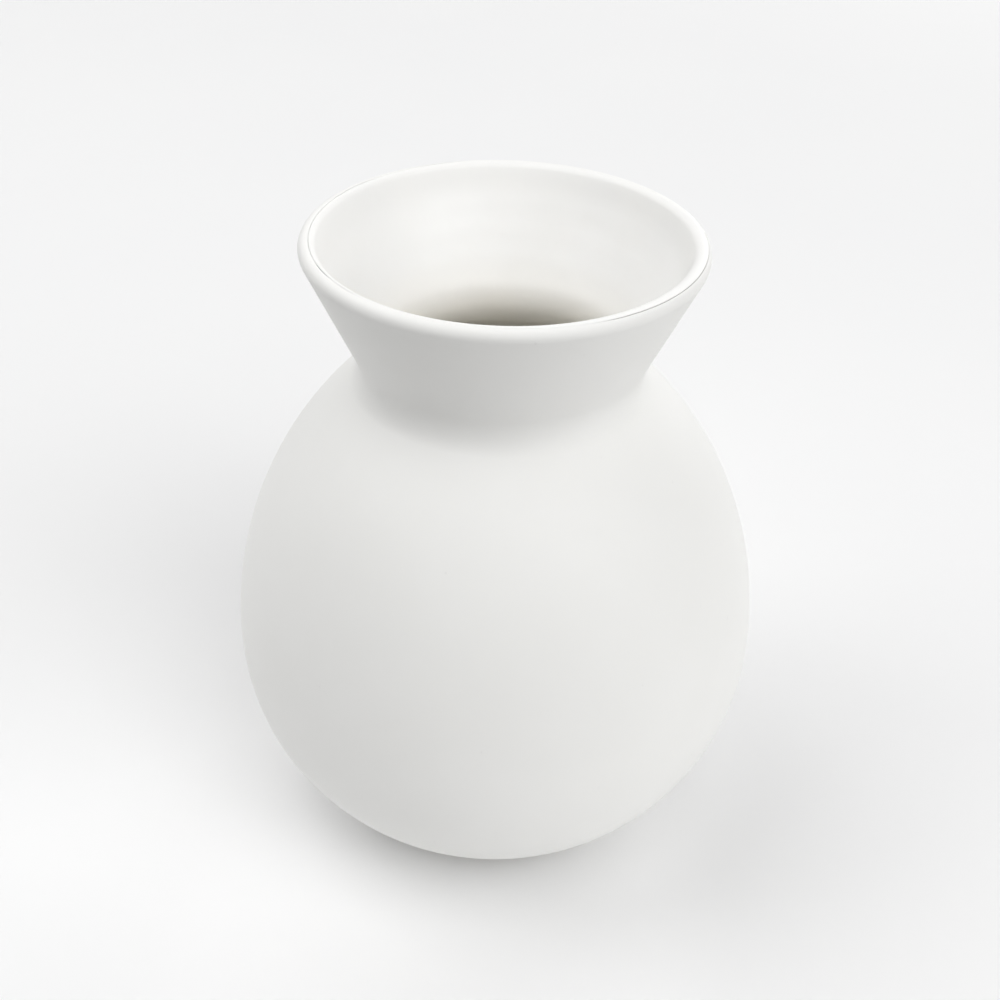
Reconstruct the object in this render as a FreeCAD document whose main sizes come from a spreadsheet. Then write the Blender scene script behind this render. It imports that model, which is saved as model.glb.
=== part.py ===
"""Ceramic bud vase: a thrown globe, a flared collar luted on top, a turned foot ring and two glazes.

Every wall follows one cross-section, drawn in the half-plane to the right of the vase's axis: an arc
under the belly, a flatter arc over the shoulder, a small hollow arc at the waist, a straight flare up
the neck and a half-round lip. A wall or a glaze is a solid block turned from that cross-section with
the next smaller block cut out of it, so pieces that lie on each other share one surface exactly.
The origin is on the axis at the height of the sole, and +Z is up. Lengths are in millimetres.
"""
import FreeCAD, Part

import math
import os

import Sketcher

SIZES = {
    # The cross-section of the outside of the clay.
    "belly_radius": 59.7,
    "belly_height": 50.5,
    "lower_arc": 55.3,
    "shoulder_arc": 86.9,
    "waist_arc": 6.8,
    "flare_angle": 24.4,
    "lip_radius": 39.7,
    "lip_height": 144.8,
    # Four surfaces, each by how far outside the clay's outer face it lies.
    "clay_outside": 0.0,
    "clay_inside": -3.2,
    "glaze_outside": 0.3,
    "glaze_inside": -3.5,
    # The floor of the vase, and the faces where its pieces meet.
    "base_height": 3.0,
    "floor_height": 8.0,
    "floor_arc": 9.0,
    "joint_low": 118.3,
    "joint_high": 119.1,
    "bare_height": 3.6,
    # The foot ring and the slip that holds it.
    "foot_top": 2.5,
    "foot_outside": 29.0,
    "foot_inside": 24.0,
    "foot_edge": 1.0,
    # How far the blocks and the cutting tools pass the faces that they cut.
    "clearance": 10.0,
}

START, END, CENTRE = 1, 2, 3
ORIGIN = (-1, 1)
VERTICAL_AXIS = -2
TOP = [(1, "lip_height"), (1, "clearance")]
ABOVE_TOP = [(1, "lip_height"), (2, "clearance")]
BELOW_SOLE = [(-1, "clearance")]
BEYOND_BELLY = [(1, "belly_radius"), (1, "clearance")]


def make_sheet(doc):
    """The driving dimensions, one row each, with the name as the alias of the cell."""
    sheet = doc.addObject("Spreadsheet::Sheet", "Sizes")
    for row, (name, value) in enumerate(SIZES.items(), start=1):
        sheet.set(f"A{row}", name)
        sheet.set(f"B{row}", str(value))
        sheet.setAlias(f"B{row}", name)
    doc.recompute()


def total(terms):
    """The sum of some driving dimensions, each times its factor."""
    return sum(factor * SIZES[name] for factor, name in terms)


def formula(terms):
    """The same sum as an expression on the sheet."""
    return " + ".join(f"{factor} * Sizes.{name}" for factor, name in terms)


def point(x, y):
    """A point of a sketch."""
    return FreeCAD.Vector(x, y, 0)


def towards(angle, length):
    """The step of that length in the direction of that angle."""
    return point(length * math.cos(angle), length * math.sin(angle))


def new_body(doc, name):
    """An empty body, whose label names the file that it is written to."""
    body = doc.addObject("PartDesign::Body", name)
    body.Label = name
    return body


def new_sketch(body, name):
    """A sketch on the upright plane of the body: its x is the radius and its y is the height."""
    plane = next(item for item in body.Origin.OriginFeatures if item.Role == "XZ_Plane")
    sketch = body.newObject("Sketcher::SketchObject", name)
    sketch.AttachmentSupport = [(plane, "")]
    sketch.MapMode = "FlatFace"
    return sketch


def add_line(sketch, first, last):
    return sketch.addGeometry(Part.LineSegment(first, last))


def add_arc(sketch, centre, radius, first_angle, last_angle):
    """An arc that turns anticlockwise from one angle to the other, in radians."""
    circle = Part.Circle(centre, FreeCAD.Vector(0, 0, 1), radius)
    return sketch.addGeometry(Part.ArcOfCircle(circle, first_angle, last_angle))


def tie(sketch, kind, *places):
    """A constraint that holds no number."""
    sketch.addConstraint(Sketcher.Constraint(kind, *places))


def drive(sketch, kind, places, terms):
    """A dimension that follows the sheet. Angles are degrees in the sheet and radians here."""
    value = math.radians(total(terms)) if kind == "Angle" else total(terms)
    index = sketch.addConstraint(Sketcher.Constraint(kind, *places, value))
    sketch.setExpression(f"Constraints[{index}]", formula(terms))


def drive_point(sketch, place, right, up):
    """Hold a point of the sketch at a radius and a height."""
    drive(sketch, "DistanceX", (*ORIGIN, *place), right)
    drive(sketch, "DistanceY", (*ORIGIN, *place), up)


def waist_centre(flare):
    """The centre of the hollow arc, which touches the shoulder arc and the flare of the neck."""
    shoulder = point(SIZES["belly_radius"] - SIZES["shoulder_arc"], SIZES["belly_height"])
    lip = point(SIZES["lip_radius"], SIZES["lip_height"])
    start = lip + towards(-flare, SIZES["waist_arc"] - SIZES["clay_inside"] / 2)
    down_the_neck = towards(-flare - math.pi / 2, 1)
    offset = start - shoulder
    reach = SIZES["shoulder_arc"] + SIZES["waist_arc"]
    middle = -offset.dot(down_the_neck)
    length = middle - math.sqrt(middle**2 - offset.dot(offset) + reach**2)
    return start + down_the_neck * length


def draw_base(sketch, surface, inside, lower_centre, lower_radius):
    """The underside of the block. Returns its lines and the angle at which the lower arc begins.

    Under the clay it is flat. Inside, it is the floor, with a round edge that runs into the wall.
    """
    if not inside:
        height = SIZES["base_height"]
        begin = math.asin((height - lower_centre.y) / lower_radius)
        corner = lower_centre + towards(begin, lower_radius)
        base = add_line(sketch, point(0, height), corner)
        drive(sketch, "DistanceY", (*ORIGIN, base, START), [(1, "base_height")])
        return [(base, START, END, "Coincident")], begin
    floor = [(1, "floor_height"), (1, "clay_inside"), (-1, surface)]
    edge = [(1, "floor_arc"), (-1, "clay_inside"), (1, surface)]
    radius = total(edge)
    centre_y = total(floor) + radius
    begin = math.asin((centre_y - lower_centre.y) / (lower_radius - radius))
    centre = lower_centre + towards(begin, lower_radius - radius)
    base = add_line(sketch, point(0, total(floor)), point(centre.x, total(floor)))
    edge_arc = add_arc(sketch, centre, radius, -math.pi / 2, begin)
    drive(sketch, "DistanceY", (*ORIGIN, base, START), floor)
    drive(sketch, "Radius", (edge_arc,), edge)
    return [(base, START, END, "Tangent"), (edge_arc, START, END, "Tangent")], begin


def draw_block(sketch, surface):
    """Half the outline of the solid block inside one of the four surfaces, closed along the axis.

    Above the crest of the lip the block goes on as a straight chimney, so that a smaller block cut
    out of a larger one leaves a wall that ends on the crest.
    """
    skin = SIZES[surface]
    inside = skin < SIZES["clay_inside"] / 2
    flare = math.radians(SIZES["flare_angle"])
    lower_centre = point(SIZES["belly_radius"] - SIZES["lower_arc"], SIZES["belly_height"])
    shoulder_centre = point(SIZES["belly_radius"] - SIZES["shoulder_arc"], SIZES["belly_height"])
    waist = waist_centre(flare)
    lip = point(SIZES["lip_radius"], SIZES["lip_height"])
    lower_radius = SIZES["lower_arc"] + skin
    waist_radius = SIZES["waist_arc"] - skin
    neck_side = skin - SIZES["clay_inside"] / 2
    lip_radius = abs(neck_side)
    rise = waist - shoulder_centre
    shoulder_end = math.atan2(rise.y, rise.x)
    crest = lip + point(0, lip_radius)
    top = total(TOP)

    run, lower_start = draw_base(sketch, surface, inside, lower_centre, lower_radius)
    base = run[0][0]
    lower = add_arc(sketch, lower_centre, lower_radius, lower_start, 0)
    shoulder = add_arc(sketch, shoulder_centre, SIZES["shoulder_arc"] + skin, 0, shoulder_end)
    hollow = add_arc(sketch, waist, waist_radius, math.pi - flare, math.pi + shoulder_end)
    neck_foot = waist - towards(-flare, waist_radius)
    neck = add_line(sketch, neck_foot, lip + towards(-flare, neck_side))
    if inside:
        rim = add_arc(sketch, lip, lip_radius, math.pi / 2, math.pi - flare)
        rim_ends = (END, START)
        rim_terms = [(0.5, "clay_inside"), (-1, surface)]
    else:
        rim = add_arc(sketch, lip, lip_radius, -flare, math.pi / 2)
        rim_ends = (START, END)
        rim_terms = [(-0.5, "clay_inside"), (1, surface)]
    chimney = add_line(sketch, crest, point(crest.x, top))
    lid = add_line(sketch, point(crest.x, top), point(0, top))
    axis = add_line(sketch, point(0, top), sketch.Geometry[base].StartPoint)
    run += [
        (lower, START, END, "Tangent"),
        (shoulder, START, END, "Tangent"),
        (hollow, END, START, "Tangent"),
        (neck, START, END, "Tangent"),
        (rim, *rim_ends, "Coincident"),
        (chimney, START, END, "Coincident"),
        (lid, START, END, "Coincident"),
        (axis, START, END, "Coincident"),
    ]
    for (here, _, last, kind), (following, first, _, _) in zip(run, run[1:] + run[:1]):
        tie(sketch, kind, here, last, following, first)

    tie(sketch, "Horizontal", base)
    tie(sketch, "Horizontal", lid)
    tie(sketch, "Vertical", chimney)
    tie(sketch, "Vertical", axis)
    tie(sketch, "Vertical", rim, CENTRE, chimney, START)
    tie(sketch, "PointOnObject", base, START, VERTICAL_AXIS)
    drive_point(sketch, (lower, CENTRE), [(1, "belly_radius"), (-1, "lower_arc")], [(1, "belly_height")])
    drive(sketch, "DistanceY", (*ORIGIN, shoulder, CENTRE), [(1, "belly_height")])
    drive(sketch, "Radius", (lower,), [(1, "lower_arc"), (1, surface)])
    drive(sketch, "Radius", (shoulder,), [(1, "shoulder_arc"), (1, surface)])
    drive(sketch, "Radius", (hollow,), [(1, "waist_arc"), (-1, surface)])
    drive(sketch, "Angle", (VERTICAL_AXIS, END, neck, END), [(-1, "flare_angle")])
    drive(sketch, "Radius", (rim,), rim_terms)
    drive_point(sketch, (rim, CENTRE), [(1, "lip_radius")], [(1, "lip_height")])
    drive(sketch, "DistanceY", (*ORIGIN, lid, END), TOP)


def draw_rectangle(sketch, inner, outer, low, high):
    """The section of a flat ring. With no inner radius it is a disc that reaches the axis."""
    left = total(inner) if inner else 0
    right, bottom, top = total(outer), total(low), total(high)
    corners = [point(left, bottom), point(right, bottom), point(right, top), point(left, top)]
    sides = [add_line(sketch, a, b) for a, b in zip(corners, corners[1:] + corners[:1])]
    for here, following in zip(sides, sides[1:] + sides[:1]):
        tie(sketch, "Coincident", here, END, following, START)
    for side, kind in zip(sides, ["Horizontal", "Vertical"] * 2):
        tie(sketch, kind, side)
    drive_point(sketch, (sides[1], START), outer, low)
    drive(sketch, "DistanceY", (*ORIGIN, sides[2], START), high)
    if inner:
        drive(sketch, "DistanceX", (*ORIGIN, sides[3], START), inner)
    else:
        tie(sketch, "PointOnObject", sides[3], START, VERTICAL_AXIS)


def turn(body, kind, sketch, name):
    """Turn a sketch about the axis of the vase, to add to the body or to cut from it."""
    body.Document.recompute()
    before = body.Shape.Volume if body.Tip else 0
    feature = body.newObject(kind, name)
    feature.Profile = sketch
    feature.ReferenceAxis = (sketch, ["V_Axis"])
    feature.Angle = 360
    sketch.Visibility = False
    body.Document.recompute()
    change = body.Shape.Volume - before
    if (change < 0) != (kind == "PartDesign::Groove"):
        raise RuntimeError(f"{body.Label}: {name} changes the volume by {change:.1f} cubic mm")


def turn_wall(doc, name, outer_surface, inner_surface):
    """The wall between two of the four surfaces, from the foot to the crest of the lip."""
    body = new_body(doc, name)
    outline = new_sketch(body, f"{name}_outline")
    draw_block(outline, outer_surface)
    turn(body, "PartDesign::Revolution", outline, f"{name}_block")
    hollow = new_sketch(body, f"{name}_hollow")
    draw_block(hollow, inner_surface)
    turn(body, "PartDesign::Groove", hollow, f"{name}_wall")
    return body


def trim(body, name, low, high):
    """Cut away everything between two heights."""
    sketch = new_sketch(body, f"{name}_section")
    draw_rectangle(sketch, None, BEYOND_BELLY, low, high)
    turn(body, "PartDesign::Groove", sketch, name)


def make_ring(doc, name, low, high):
    """A flat ring of the width of the foot."""
    body = new_body(doc, name)
    sketch = new_sketch(body, f"{name}_section")
    draw_rectangle(sketch, [(1, "foot_inside")], [(1, "foot_outside")], low, high)
    turn(body, "PartDesign::Revolution", sketch, f"{name}_ring")
    return body


def make_globe(doc):
    """The thrown belly, from its flat base to the opening that the collar stands on."""
    body = turn_wall(doc, "globe", "clay_outside", "clay_inside")
    trim(body, "globe_opening", [(1, "joint_low")], ABOVE_TOP)
    return body


def make_neck_collar(doc):
    """The flared collar with its half-round lip."""
    body = turn_wall(doc, "neck_collar", "clay_outside", "clay_inside")
    trim(body, "neck_collar_seat", BELOW_SOLE, [(1, "joint_high")])
    return body


def make_neck_joint_slip(doc):
    """The layer of slip that lutes the collar to the globe at the waist."""
    body = turn_wall(doc, "neck_joint_slip", "clay_outside", "clay_inside")
    trim(body, "neck_joint_slip_under", BELOW_SOLE, [(1, "joint_low")])
    trim(body, "neck_joint_slip_over", [(1, "joint_high")], ABOVE_TOP)
    return body


def make_foot_ring(doc):
    """The turned ring that the vase stands on, with both edges of its sole rounded."""
    body = make_ring(doc, "foot_ring", [(1, "clay_outside")], [(1, "foot_top")])
    ring = body.Tip
    sole_edges = [
        f"Edge{number}"
        for number, edge in enumerate(ring.Shape.Edges, start=1)
        if edge.BoundBox.ZMax < SIZES["foot_edge"] / 2 and edge.BoundBox.XLength > SIZES["foot_outside"]
    ]
    fillet = body.newObject("PartDesign::Fillet", "foot_ring_edges")
    fillet.Base = (ring, sole_edges)
    fillet.setExpression("Radius", "Sizes.foot_edge")
    return body


def make_foot_joint_slip(doc):
    """The layer of slip between the foot ring and the base of the globe."""
    return make_ring(doc, "foot_joint_slip", [(1, "foot_top")], [(1, "base_height")])


def make_exterior_glaze(doc):
    """The matt coat over the outside, from just above the bare foot to the crest of the lip."""
    body = turn_wall(doc, "exterior_glaze", "glaze_outside", "clay_outside")
    trim(body, "exterior_glaze_bare_foot", BELOW_SOLE, [(1, "bare_height")])
    return body


def make_interior_glaze(doc):
    """The glaze that makes the inside watertight, from the floor to the crest of the lip."""
    return turn_wall(doc, "interior_glaze", "clay_inside", "glaze_inside")


def check(doc, bodies):
    """Stop if any object failed to build, or any piece is not one sound solid."""
    for item in doc.Objects:
        if {"Invalid", "Error"} & set(item.State):
            raise RuntimeError(f"{item.Name} is {item.State}")
    for body in bodies:
        shape = body.Shape
        if shape.isNull() or not shape.isValid() or len(shape.Solids) != 1:
            raise RuntimeError(f"{body.Label} is not one sound solid")
        box = shape.BoundBox
        print(f"{body.Label}: {shape.Volume / 1000:.2f} cubic cm, height {box.ZMin:.2f} to {box.ZMax:.2f} mm")


def main():
    doc = FreeCAD.newDocument("bud_vase")
    make_sheet(doc)
    makers = [
        make_globe,
        make_neck_collar,
        make_neck_joint_slip,
        make_foot_ring,
        make_foot_joint_slip,
        make_exterior_glaze,
        make_interior_glaze,
    ]
    bodies = [make(doc) for make in makers]
    doc.recompute()
    check(doc, bodies)
    os.makedirs("parts", exist_ok=True)
    for body in bodies:
        body.Shape.exportStep(f"parts/{body.Label}.step")


main()
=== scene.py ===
import math

import bmesh
import bpy
from mathutils import Matrix, Vector, noise


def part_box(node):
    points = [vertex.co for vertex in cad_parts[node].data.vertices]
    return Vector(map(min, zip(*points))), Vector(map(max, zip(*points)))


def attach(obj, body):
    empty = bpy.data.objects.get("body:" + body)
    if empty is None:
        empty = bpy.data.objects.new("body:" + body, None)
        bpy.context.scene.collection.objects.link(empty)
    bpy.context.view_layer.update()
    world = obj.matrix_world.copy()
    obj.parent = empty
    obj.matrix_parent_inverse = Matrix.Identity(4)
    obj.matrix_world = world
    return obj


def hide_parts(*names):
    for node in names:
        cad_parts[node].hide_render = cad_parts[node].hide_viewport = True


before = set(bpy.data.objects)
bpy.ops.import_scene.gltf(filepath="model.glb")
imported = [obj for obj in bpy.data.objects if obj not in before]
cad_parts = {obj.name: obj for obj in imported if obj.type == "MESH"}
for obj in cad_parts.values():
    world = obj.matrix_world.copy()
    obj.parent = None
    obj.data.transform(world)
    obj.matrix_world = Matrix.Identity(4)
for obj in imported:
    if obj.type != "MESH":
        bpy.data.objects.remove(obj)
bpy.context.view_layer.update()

MM = 0.001

# ---------------------------------------------------------------- the vase's cross-section, in metres
# The lower arc, the shoulder, the flare and the lip were fitted to the outline in the photo, together
# with the camera further down. The round of the waist, the belly's height above the sole, the wall, the
# floor and the foot are inferred.
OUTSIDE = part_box("exterior_glaze")
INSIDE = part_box("interior_glaze")
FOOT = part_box("foot_ring")
FOOT_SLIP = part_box("foot_joint_slip")
BELLY_RADIUS = OUTSIDE[1].x
BELLY_HEIGHT = 50.5 * MM
LOWER_ARC = 55.6 * MM
SHOULDER_ARC = 87.2 * MM
WAIST_ARC = 6.5 * MM
FLARE = math.radians(24.4)
LIP_ROUND = 1.9 * MM
LIP_RADIUS = 39.7 * MM
LIP_HEIGHT = OUTSIDE[1].z - LIP_ROUND
WALL = 2 * LIP_ROUND
GLAZE = 0.3 * MM
FLOOR_ARC = 8.7 * MM
FLOOR_HEIGHT = INSIDE[0].z + GLAZE
FOOT_INSIDE = 24.0 * MM
FOOT_EDGE = 1.0 * MM
COVE = FOOT_SLIP[1].z - FOOT_SLIP[0].z

# In Blender a glaze is a closed skin this thick, just clear of the clay under it.
SKIN = 0.27 * MM
# The two glazes meet in a hairline seam near the crest of the lip. It leans as the faint line in the
# photo does, outwards at the right and inwards at the left, as on a vase dipped a little askew.
SEAM = math.radians(77.5)
SEAM_LEAN = math.radians(22.5)
SEAM_HALF_WIDTH = 0.005 * MM
SEAM_EDGE = 0.02 * MM

# A dipped glaze lies in slow waves this deep. Smaller waves ride on them, at a share of their height.
UNDULATION = 0.04 * MM
COAT_WAVES = 24 * MM
LINER_WAVES = 18 * MM
SMALLER_WAVES = 2.7
SMALLER_SHARE = 0.4

# ---------------------------------------------------------------- how finely the surfaces are meshed
SEGMENTS = 256
STEP = 0.9 * MM
HIDDEN_STEP = 3.0 * MM
SEAM_EDGE_TURN = 18
LOWER_EDGE_TURN = 30
FOOT_EDGE_STEP = FOOT_EDGE / 6
COVE_STEP = COVE / 5
ON_AXIS = 1e-7


def at(centre, radius, angle):
    """The point of the cross-section (radius, height) at an angle round a centre."""
    return (centre[0] + radius * math.cos(angle), centre[1] + radius * math.sin(angle))


def arc(centre, radius, first, last, step=STEP):
    """Evenly spaced points along an arc, without its last point."""
    count = max(3, math.ceil(abs(radius * (last - first)) / step))
    return [at(centre, radius, first + (last - first) * i / count) for i in range(count)]


def line(start, end, step=STEP):
    """Evenly spaced points along a straight line, without its last point."""
    count = max(2, math.ceil(math.dist(start, end) / step))
    return [tuple(a + (b - a) * i / count for a, b in zip(start, end)) for i in range(count)]


def waist_centre():
    """The centre of the hollow arc that touches the shoulder arc and the flare of the neck."""
    shoulder = Vector((BELLY_RADIUS - SHOULDER_ARC, BELLY_HEIGHT))
    start = Vector(at((LIP_RADIUS, LIP_HEIGHT), LIP_ROUND + WAIST_ARC, -FLARE))
    down = Vector(at((0, 0), 1, -FLARE - math.pi / 2))
    offset = start - shoulder
    middle = -offset.dot(down)
    reach = SHOULDER_ARC + WAIST_ARC
    return start + down * (middle - math.sqrt(middle**2 - offset.length_squared + reach**2))


# The centres of the arcs, and the angle at which the shoulder gives way to the waist.
LOWER = (BELLY_RADIUS - LOWER_ARC, BELLY_HEIGHT)
SHOULDER = (BELLY_RADIUS - SHOULDER_ARC, BELLY_HEIGHT)
WAIST = waist_centre()
LIP = (LIP_RADIUS, LIP_HEIGHT)
SHOULDER_END = math.atan2(WAIST.y - SHOULDER[1], WAIST.x - SHOULDER[0])


def wall(skin, first, step=STEP):
    """Points up a wall, from an angle of the lower arc to the lip. skin is how far out it lies."""
    points = arc(LOWER, LOWER_ARC + skin, first, 0, step)
    points += arc(SHOULDER, SHOULDER_ARC + skin, 0, SHOULDER_END, step)
    points += arc(WAIST, WAIST_ARC - skin, math.pi + SHOULDER_END, math.pi - FLARE, step / 2)
    points += line(at(WAIST, WAIST_ARC - skin, math.pi - FLARE), at(LIP, skin + LIP_ROUND, -FLARE), step)
    return points


def lip(side):
    """Points over the lip to the seam and round the glaze's edge. side is 1 outside and -1 inside."""
    start = -FLARE if side > 0 else math.pi - FLARE
    end = SEAM - side * (SEAM_HALF_WIDTH + SEAM_EDGE) / LIP_ROUND
    edge = at(LIP, LIP_ROUND - SEAM_EDGE, end)
    points = arc(LIP, LIP_ROUND, start, end, STEP / 4)
    for turn in range(0, 91, SEAM_EDGE_TURN):
        points.append(at(edge, SEAM_EDGE, end + side * math.radians(turn)))
    back = end + side * SEAM_EDGE / LIP_ROUND
    return points + arc(LIP, LIP_ROUND - SKIN, back, start, STEP / 2)


def lower_edge(low):
    """The rounded lower edge of the outer coat, and the angle of the lower arc at which it lies."""
    angle = math.asin((low + SKIN / 2 - LOWER[1]) / (LOWER_ARC - SKIN / 2))
    centre = at(LOWER, LOWER_ARC - SKIN / 2, angle)
    turns = range(180, 360, LOWER_EDGE_TURN)
    return [at(centre, SKIN / 2, angle + math.radians(turn)) for turn in turns], angle


# ---------------------------------------------------------------- turning a cross-section into a mesh
def turned(name, points, closed=False):
    """A surface turned from a cross-section. A point on the axis becomes a pole."""
    mesh = bmesh.new()
    rings = []
    for radius, height in points:
        if radius < ON_AXIS:
            rings.append([mesh.verts.new((0, 0, height))])
            continue
        angles = (2 * math.pi * i / SEGMENTS for i in range(SEGMENTS))
        circle = [(radius * math.cos(a), radius * math.sin(a), height) for a in angles]
        rings.append([mesh.verts.new(place) for place in circle])
    pairs = list(zip(rings, rings[1:]))
    if closed:
        pairs.append((rings[-1], rings[0]))
    for below, above in pairs:
        for i in range(SEGMENTS):
            j = (i + 1) % SEGMENTS
            if len(below) == 1:
                mesh.faces.new((below[0], above[j], above[i]))
            elif len(above) == 1:
                mesh.faces.new((below[i], below[j], above[0]))
            else:
                mesh.faces.new((below[i], below[j], above[j], above[i]))
    bmesh.ops.recalc_face_normals(mesh, faces=mesh.faces)
    data = bpy.data.meshes.new(name)
    mesh.to_mesh(data)
    mesh.free()
    data.shade_smooth()
    piece = bpy.data.objects.new(name, data)
    bpy.context.collection.objects.link(piece)
    return piece


def lean_seam(piece, side):
    """Turn a glaze's edge round the lip, by less the farther it is from the seam."""
    start = -side * FLARE
    seam = SEAM if side > 0 else math.pi - SEAM
    for vertex in piece.data.vertices:
        from_axis = math.hypot(vertex.co.x, vertex.co.y)
        across = from_axis - LIP_RADIUS
        up = vertex.co.z - LIP_HEIGHT
        share = (math.atan2(up, side * across) - start) / (seam - start)
        if share <= 0:
            continue
        turn = SEAM_LEAN * min(share, 1) * vertex.co.x / from_axis
        radius, height = at(LIP, math.hypot(across, up), math.atan2(up, across) - turn)
        vertex.co.x *= radius / from_axis
        vertex.co.y *= radius / from_axis
        vertex.co.z = height


def undulate(piece, size):
    """Sink the surface in slow waves of about a size, never proud of where it was."""
    moves = []
    for vertex in piece.data.vertices:
        wave = noise.noise(vertex.co / size)
        wave += SMALLER_SHARE * noise.noise(vertex.co * SMALLER_WAVES / size)
        moves.append(vertex.normal * UNDULATION * (max(-1, min(1, wave)) - 1) / 2)
    for vertex, move in zip(piece.data.vertices, moves):
        vertex.co += move


def stand_for(piece, node, material):
    """Make a piece stand for a node of the frame, in a material."""
    piece.data.materials.append(material)
    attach(piece, "root")
    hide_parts(node)


# ---------------------------------------------------------------- materials
# Most of a noise texture's values lie between these two.
NOISE_LOW = 0.3
NOISE_HIGH = 0.7


class Finish:
    """A Principled material, with short calls for the nodes that the finishes are made of."""

    def __init__(self, name, specular=0.5):
        self.material = bpy.data.materials.new(name)
        self.material.use_nodes = True
        self.tree = self.material.node_tree
        self.shader = self.tree.nodes["Principled BSDF"]
        self.shader.inputs["Specular IOR Level"].default_value = specular
        self.place = self.add("ShaderNodeTexCoord").outputs["Object"]

    def add(self, kind, **settings):
        """A new node of a kind, with its settings."""
        node = self.tree.nodes.new(kind)
        for name, value in settings.items():
            setattr(node, name, value)
        return node

    def feed(self, value, socket):
        """Link an output to a socket, or set the socket to a constant."""
        if isinstance(value, bpy.types.NodeSocket):
            self.tree.links.new(value, socket)
        else:
            socket.default_value = value

    def noise(self, size, detail=3.0, stretch=(1, 1, 1)):
        """Noise from 0 to 1 with features of about a size in metres."""
        mapping = self.add("ShaderNodeMapping")
        self.feed(self.place, mapping.inputs["Vector"])
        mapping.inputs["Scale"].default_value = stretch
        texture = self.add("ShaderNodeTexNoise")
        self.feed(mapping.outputs["Vector"], texture.inputs["Vector"])
        texture.inputs["Scale"].default_value = 1 / size
        texture.inputs["Detail"].default_value = detail
        return texture.outputs["Fac"]

    def span(self, value, first, last, low, high):
        """Map a value from first..last to low..high smoothly, held at the ends."""
        node = self.add("ShaderNodeMapRange", interpolation_type="SMOOTHSTEP")
        names = ("Value", "From Min", "From Max", "To Min", "To Max")
        for name, number in zip(names, (value, first, last, low, high)):
            self.feed(number, node.inputs[name])
        return node.outputs["Result"]

    def vary(self, low, high, size, detail=3.0, stretch=(1, 1, 1)):
        """A value that wanders between low and high, in features of about a size in metres."""
        return self.span(self.noise(size, detail, stretch), NOISE_LOW, NOISE_HIGH, low, high)

    def mix(self, factor, first, second):
        """A blend of two colours, each an output or three numbers."""
        node = self.add("ShaderNodeMix", data_type="RGBA")
        self.feed(factor, node.inputs["Factor"])
        for colour, name in ((first, "A"), (second, "B")):
            socket = next(s for s in node.inputs if s.name == name and s.type == "RGBA")
            self.feed(colour if isinstance(colour, bpy.types.NodeSocket) else (*colour, 1), socket)
        return next(s for s in node.outputs if s.type == "RGBA")

    def height(self):
        """The height above the sole, in metres."""
        split = self.add("ShaderNodeSeparateXYZ")
        self.feed(self.place, split.inputs["Vector"])
        return split.outputs["Z"]

    def from_axis(self):
        """The distance from the vase's axis, in metres."""
        flat = self.add("ShaderNodeVectorMath", operation="MULTIPLY")
        self.feed(self.place, flat.inputs[0])
        flat.inputs[1].default_value = (1, 1, 0)
        length = self.add("ShaderNodeVectorMath", operation="LENGTH")
        self.feed(flat.outputs["Vector"], length.inputs[0])
        return length.outputs["Value"]

    def rings(self, place, spacing):
        """Even waves from 0 to 1 along a distance, as a throwing or turning tool leaves them."""
        scale = self.add("ShaderNodeMath", operation="MULTIPLY")
        self.feed(place, scale.inputs[0])
        scale.inputs[1].default_value = 2 * math.pi / spacing
        wave = self.add("ShaderNodeMath", operation="SINE")
        self.feed(scale.outputs["Value"], wave.inputs[0])
        return self.span(wave.outputs["Value"], -1, 1, 0, 1)

    def bump(self, height, depth, normal=None):
        """Relief of a depth in metres, on top of an earlier relief."""
        node = self.add("ShaderNodeBump")
        node.inputs["Distance"].default_value = depth
        self.feed(height, node.inputs["Height"])
        if normal:
            self.feed(normal, node.inputs["Normal"])
        return node.outputs["Normal"]

    def done(self, colour, roughness, normal):
        """The finished material."""
        self.feed(colour, self.shader.inputs["Base Color"])
        self.feed(roughness, self.shader.inputs["Roughness"])
        self.feed(normal, self.shader.inputs["Normal"])
        return self.material


def matt_glaze():
    """A soft white matt glaze: slow changes of tone, a fine dry grain and a few pinholes."""
    duller, whiter = (0.9, 0.898, 0.877), (0.912, 0.91, 0.891)
    pinhole = (0.86, 0.857, 0.84)
    finish = Finish("matt_glaze")
    colour = finish.mix(finish.vary(0, 1, 30 * MM, 2), duller, whiter)
    pinholes = finish.span(finish.noise(1.3 * MM, 0), 0.87, 0.9, 0, 1)
    colour = finish.mix(pinholes, colour, pinhole)
    roughness = finish.vary(0.55, 0.68, 6 * MM)
    normal = finish.bump(finish.noise(0.35 * MM, 2), 0.0015 * MM)
    normal = finish.bump(finish.noise(9 * MM, 1), 0.02 * MM, normal)
    return finish.done(colour, roughness, normal)


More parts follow.
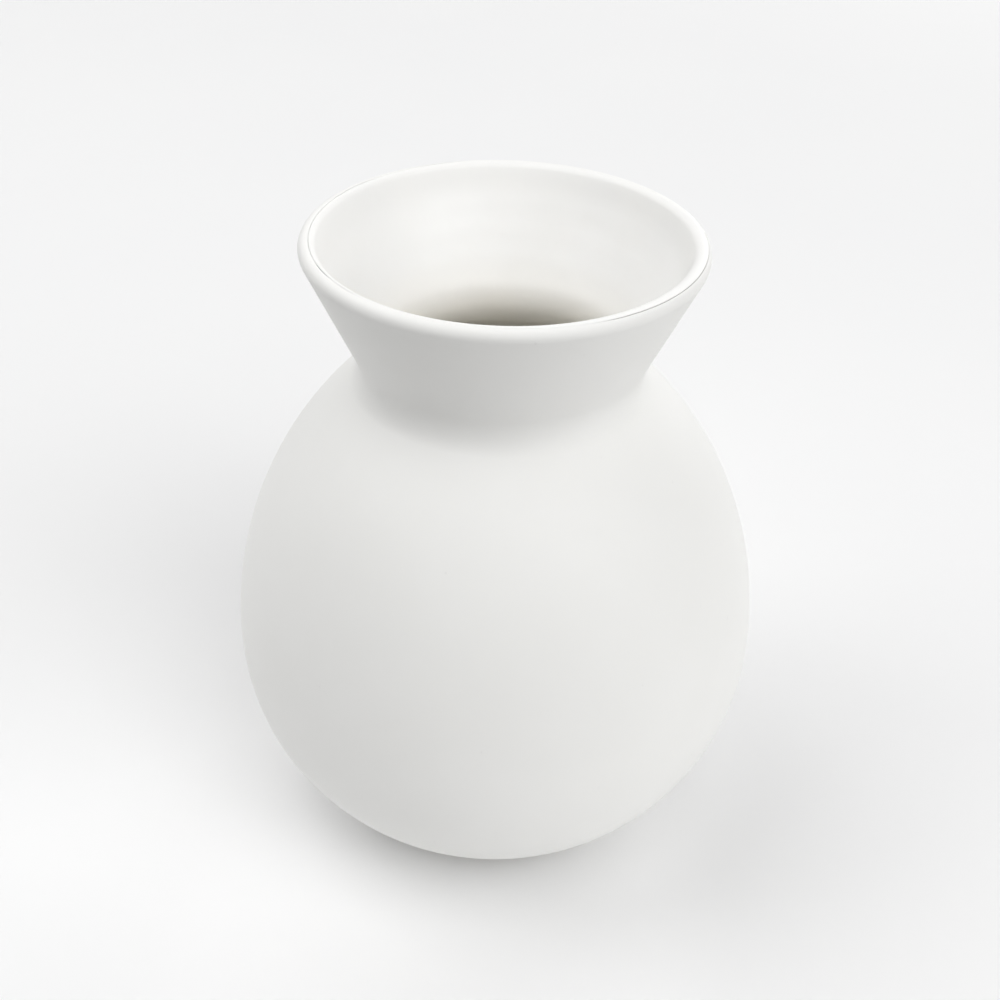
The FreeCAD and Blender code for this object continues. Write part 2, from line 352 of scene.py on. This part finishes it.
def liner_glaze():
    """The satin glaze inside: white in the neck, with painted bounce light below it (a warmer, brighter
    cream towards the waist and the belly), and matt near the lip.
    """
    # The waist and belly creams are painted bounce light: warmer and brighter lower down inside, where
    # the throat lies in shade.
    neck_white, painted_waist_bounce, painted_belly_bounce = (0.95, 0.948, 0.935), (0.955, 0.94, 0.9), (0.98, 0.953, 0.88)
    lip_white, cloudy = (0.9, 0.898, 0.883), (0.935, 0.926, 0.9)
    waist_bounce_top, belly_bounce_end, belly_bounce_start = WAIST.y + 12 * MM, WAIST.y + 4 * MM, WAIST.y - 3 * MM
    matt_start = LIP_HEIGHT - 8 * MM
    finish = Finish("liner_glaze")
    height = finish.height()
    cloud = finish.span(finish.noise(14 * MM, 3), 0.35, 0.7, 0, 0.3)
    # Painted bounce light: a cream fades in from the neck down to the waist, and a warmer, brighter one
    # below it in the belly.
    waist_bounce_mask = finish.span(height, WAIST.y, waist_bounce_top, 1, 0)
    belly_bounce_mask = finish.span(height, belly_bounce_start, belly_bounce_end, 1, 0)
    near_lip = finish.span(height, matt_start, LIP_HEIGHT, 0, 1)
    colour = finish.mix(waist_bounce_mask, neck_white, painted_waist_bounce)
    colour = finish.mix(belly_bounce_mask, colour, painted_belly_bounce)
    colour = finish.mix(near_lip, colour, lip_white)
    colour = finish.mix(cloud, colour, cloudy)
    satin = finish.vary(0.36, 0.5, 5 * MM)
    roughness = finish.span(near_lip, 0, 1, satin, 0.62)
    normal = finish.bump(finish.rings(height, 5.5 * MM), 0.03 * MM)
    runs = finish.noise(4 * MM, 2, (1, 1, 0.18))
    normal = finish.bump(runs, 0.03 * MM, normal)
    return finish.done(colour, roughness, normal)


def bare_clay():
    """Unglazed stoneware: fine grog, small dark specks and the rings that the turning tool left."""
    darker, paler = (0.74, 0.715, 0.66), (0.82, 0.80, 0.755)
    speck = (0.45, 0.38, 0.3)
    finish = Finish("clay", 0.3)
    colour = finish.mix(finish.vary(0, 1, 4 * MM, 4), darker, paler)
    specks = finish.span(finish.noise(0.7 * MM, 1), 0.72, 0.78, 0, 0.6)
    colour = finish.mix(specks, colour, speck)
    roughness = finish.vary(0.82, 0.97, 1.2 * MM)
    normal = finish.bump(finish.rings(finish.from_axis(), 0.9 * MM), 0.03 * MM)
    normal = finish.bump(finish.noise(0.3 * MM, 3), 0.03 * MM, normal)
    return finish.done(colour, roughness, normal)


def luting_slip():
    """Slip pressed into a joint: a smooth, slightly darker clay with brushed streaks."""
    darker, paler = (0.69, 0.67, 0.625), (0.75, 0.73, 0.69)
    finish = Finish("slip", 0.3)
    streaks = finish.vary(0, 1, 2 * MM, 3, (1, 1, 4))
    colour = finish.mix(streaks, darker, paler)
    roughness = finish.span(streaks, 0, 1, 0.78, 0.9)
    normal = finish.bump(streaks, 0.03 * MM)
    return finish.done(colour, roughness, normal)


def paper():
    """The pale sheet that the vase stands on."""
    darker, paler = (0.858, 0.858, 0.86), (0.866, 0.866, 0.866)
    finish = Finish("floor", 0.2)
    colour = finish.mix(finish.vary(0, 1, 200 * MM, 2), darker, paler)
    normal = finish.bump(finish.noise(0.5 * MM, 2), 0.003 * MM)
    return finish.done(colour, 0.9, normal)


# ---------------------------------------------------------------- the pieces
def build_coat(material):
    """The matt coat: a closed skin from the bare foot up to the seam on the lip."""
    bead, angle = lower_edge(OUTSIDE[0].z)
    back = wall(-SKIN, angle, HIDDEN_STEP)
    coat = turned("matt_coat", bead + wall(0, angle) + lip(1) + back[:0:-1], closed=True)
    lean_seam(coat, 1)
    undulate(coat, COAT_WAVES)
    stand_for(coat, "exterior_glaze", material)


def build_liner(material):
    """The glaze inside: a closed skin from the middle of the floor up to the seam on the lip."""
    centre_height = FLOOR_HEIGHT + FLOOR_ARC
    reach = LOWER_ARC - WALL - FLOOR_ARC
    angle = math.asin((centre_height - LOWER[1]) / reach)
    centre = at(LOWER, reach, angle)
    floor = line((0, FLOOR_HEIGHT), (centre[0], FLOOR_HEIGHT), 2 * STEP)
    face = floor + arc(centre, FLOOR_ARC, -math.pi / 2, angle) + wall(-WALL, angle)
    back = [(0, FLOOR_HEIGHT - SKIN)]
    back += arc(centre, FLOOR_ARC + SKIN, -math.pi / 2, angle, HIDDEN_STEP)
    back += wall(SKIN - WALL, angle, HIDDEN_STEP)
    liner = turned("liner", face + lip(-1) + back[::-1])
    lean_seam(liner, -1)
    undulate(liner, LINER_WAVES)
    stand_for(liner, "interior_glaze", material)


def build_foot(clay):
    """The turned foot ring, with round edges on its sole."""
    low, top = FOOT[0].z, FOOT[1].z
    outside, inside = FOOT[1].x, FOOT_INSIDE
    outer_edge = (outside - FOOT_EDGE, low + FOOT_EDGE)
    inner_edge = (inside + FOOT_EDGE, low + FOOT_EDGE)
    section = line((inner_edge[0], low), (outer_edge[0], low))
    section += arc(outer_edge, FOOT_EDGE, -math.pi / 2, 0, FOOT_EDGE_STEP)
    section += line((outside, outer_edge[1]), (outside, top))
    section += line((outside, top), (inside, top))
    section += line((inside, top), (inside, inner_edge[1]))
    section += arc(inner_edge, FOOT_EDGE, math.pi, 1.5 * math.pi, FOOT_EDGE_STEP)
    stand_for(turned("foot", section, closed=True), "foot_ring", clay)


def build_foot_cove(slip):
    """The slip over the foot ring, sponged into a hollow cove on both its sides."""
    top, outside, inside = FOOT[1].z, FOOT[1].x, FOOT_INSIDE
    section = line((inside, top), (outside, top))
    section += arc((outside + COVE, top), COVE, math.pi, math.pi / 2, COVE_STEP)
    section += line((outside + COVE, top + COVE), (inside - COVE, top + COVE))
    section += arc((inside - COVE, top), COVE, math.pi / 2, 0, COVE_STEP)
    stand_for(turned("foot_cove", section, closed=True), "foot_joint_slip", slip)


def finish_frame(clay, slip):
    """Give the clay and the slip that stay as the frame has them their materials."""
    for name, material in (("globe", clay), ("neck_collar", clay), ("neck_joint_slip", slip)):
        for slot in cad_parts[name].material_slots:
            slot.material = material


def build_vase():
    """Every piece of the vase, with its material."""
    clay = bare_clay()
    slip = luting_slip()
    build_coat(matt_glaze())
    build_liner(liner_glaze())
    build_foot(clay)
    build_foot_cove(slip)
    finish_frame(clay, slip)


# ---------------------------------------------------------------- the sheet under the vase
# Where the near edge lies was fitted to the photo's shading with the lights: a longer sheet lit the
# underside of the neck too much. How far the real sheet reached isn't known.
SHEET_NEAR = -0.25
SHEET_FAR = 1.2
SHEET_SIDE = 0.9


def build_floor():
    """A flat sheet at the height of the sole."""
    corners = [(-SHEET_SIDE, SHEET_NEAR, 0), (SHEET_SIDE, SHEET_NEAR, 0)]
    corners += [(SHEET_SIDE, SHEET_FAR, 0), (-SHEET_SIDE, SHEET_FAR, 0)]
    data = bpy.data.meshes.new("floor")
    data.from_pydata(corners, [], [(0, 1, 2, 3)])
    data.materials.append(paper())
    floor = bpy.data.objects.new("floor", data)
    bpy.context.collection.objects.link(floor)


# ---------------------------------------------------------------- camera
# Fitted to the outline in the photo, which fixes the focal length, in millimetres, only weakly.
CAMERA_BACK = 261.39 * MM
CAMERA_ABOVE_BELLY = 213.16 * MM
CAMERA_PITCH = math.radians(34.858)
CAMERA_YAW = math.radians(0.099)
CAMERA_ROLL = math.radians(-1.631)
FOCAL_LENGTH = 50.4
SENSOR_WIDTH = 36
CLIP_START = 0.01


def add_camera():
    """The camera, in front of the vase and above it, looking down."""
    data = bpy.data.cameras.new("camera")
    data.lens = FOCAL_LENGTH
    data.sensor_width = SENSOR_WIDTH
    data.clip_start = CLIP_START
    camera = bpy.data.objects.new("camera", data)
    bpy.context.collection.objects.link(camera)
    right = Vector((math.cos(CAMERA_YAW), -math.sin(CAMERA_YAW), 0))
    flat = Vector((math.sin(CAMERA_YAW), math.cos(CAMERA_YAW), 0))
    forward = flat * math.cos(CAMERA_PITCH) - Vector((0, 0, math.sin(CAMERA_PITCH)))
    up = right.cross(forward)
    tilt = Matrix.Rotation(CAMERA_ROLL, 3, forward)
    right = tilt @ right
    up = tilt @ up
    rotation = Matrix((right, up, -forward)).transposed()
    place = Vector((0, -CAMERA_BACK, BELLY_HEIGHT + CAMERA_ABOVE_BELLY))
    camera.matrix_world = Matrix.Translation(place) @ rotation.to_4x4()
    bpy.context.scene.camera = camera


# ---------------------------------------------------------------- light
# The directions, sizes and powers were fitted to the shading in the photo. They stand in for the real
# lights, which aren't known.
LIGHT_DISTANCE = 1.8
WIDE = 1.8
NARROW = 1.0
AIM = Vector((0, 0, 0.06))
FILL = 0.12
BACKDROP = (0.95, 0.95, 0.955, 1)
# Each soft light: degrees round from the camera's side towards the right, degrees up, size and watts.
LIGHTS = {
    "back_right": (150, 15, NARROW, 9.7),
    "back_left": (210, 40, WIDE, 10.5),
    "left": (270, 40, NARROW, 4.3),
    "left_top": (270, 65, NARROW, 6.5),
    "front_left": (300, 40, NARROW, 3.0),
    "front_right": (30, 40, NARROW, 7.4),
    "front_top": (30, 65, NARROW, 5.6),
    "right": (60, 40, NARROW, 5.2),
    "right_low": (60, 15, NARROW, 5.3),
}


def add_area(name, round_from_front, up, size, power):
    """A soft round light, aimed at the middle of the vase."""
    turn = math.radians(round_from_front)
    rise = math.radians(up)
    flat = math.cos(rise)
    towards = Vector((flat * math.sin(turn), -flat * math.cos(turn), math.sin(rise)))
    data = bpy.data.lights.new(name, "AREA")
    data.shape = "DISK"
    data.size = size
    data.energy = power
    light = bpy.data.objects.new(name, data)
    light.location = AIM + towards * LIGHT_DISTANCE
    light.rotation_euler = towards.to_track_quat("Z", "Y").to_euler()
    bpy.context.collection.objects.link(light)


def add_world():
    """A dim fill from all round, behind which the camera sees a pale backdrop."""
    world = bpy.data.worlds.new("studio")
    world.use_nodes = True
    tree = world.node_tree
    fill = tree.nodes["Background"]
    fill.inputs["Color"].default_value = (1, 1, 1, 1)
    fill.inputs["Strength"].default_value = FILL
    backdrop = tree.nodes.new("ShaderNodeBackground")
    backdrop.inputs["Color"].default_value = BACKDROP
    seen = tree.nodes.new("ShaderNodeLightPath").outputs["Is Camera Ray"]
    choice = tree.nodes.new("ShaderNodeMixShader")
    tree.links.new(seen, choice.inputs[0])
    tree.links.new(fill.outputs["Background"], choice.inputs[1])
    tree.links.new(backdrop.outputs["Background"], choice.inputs[2])
    tree.links.new(choice.outputs["Shader"], tree.nodes["World Output"].inputs["Surface"])
    bpy.context.scene.world = world


def add_lights():
    """All the soft lights of the list."""
    for name, (round_from_front, up, size, power) in LIGHTS.items():
        add_area(name, round_from_front, up, size, power)


build_vase()
build_floor()
add_camera()
add_world()
add_lights()
bpy.context.scene.view_settings.view_transform = "Standard"
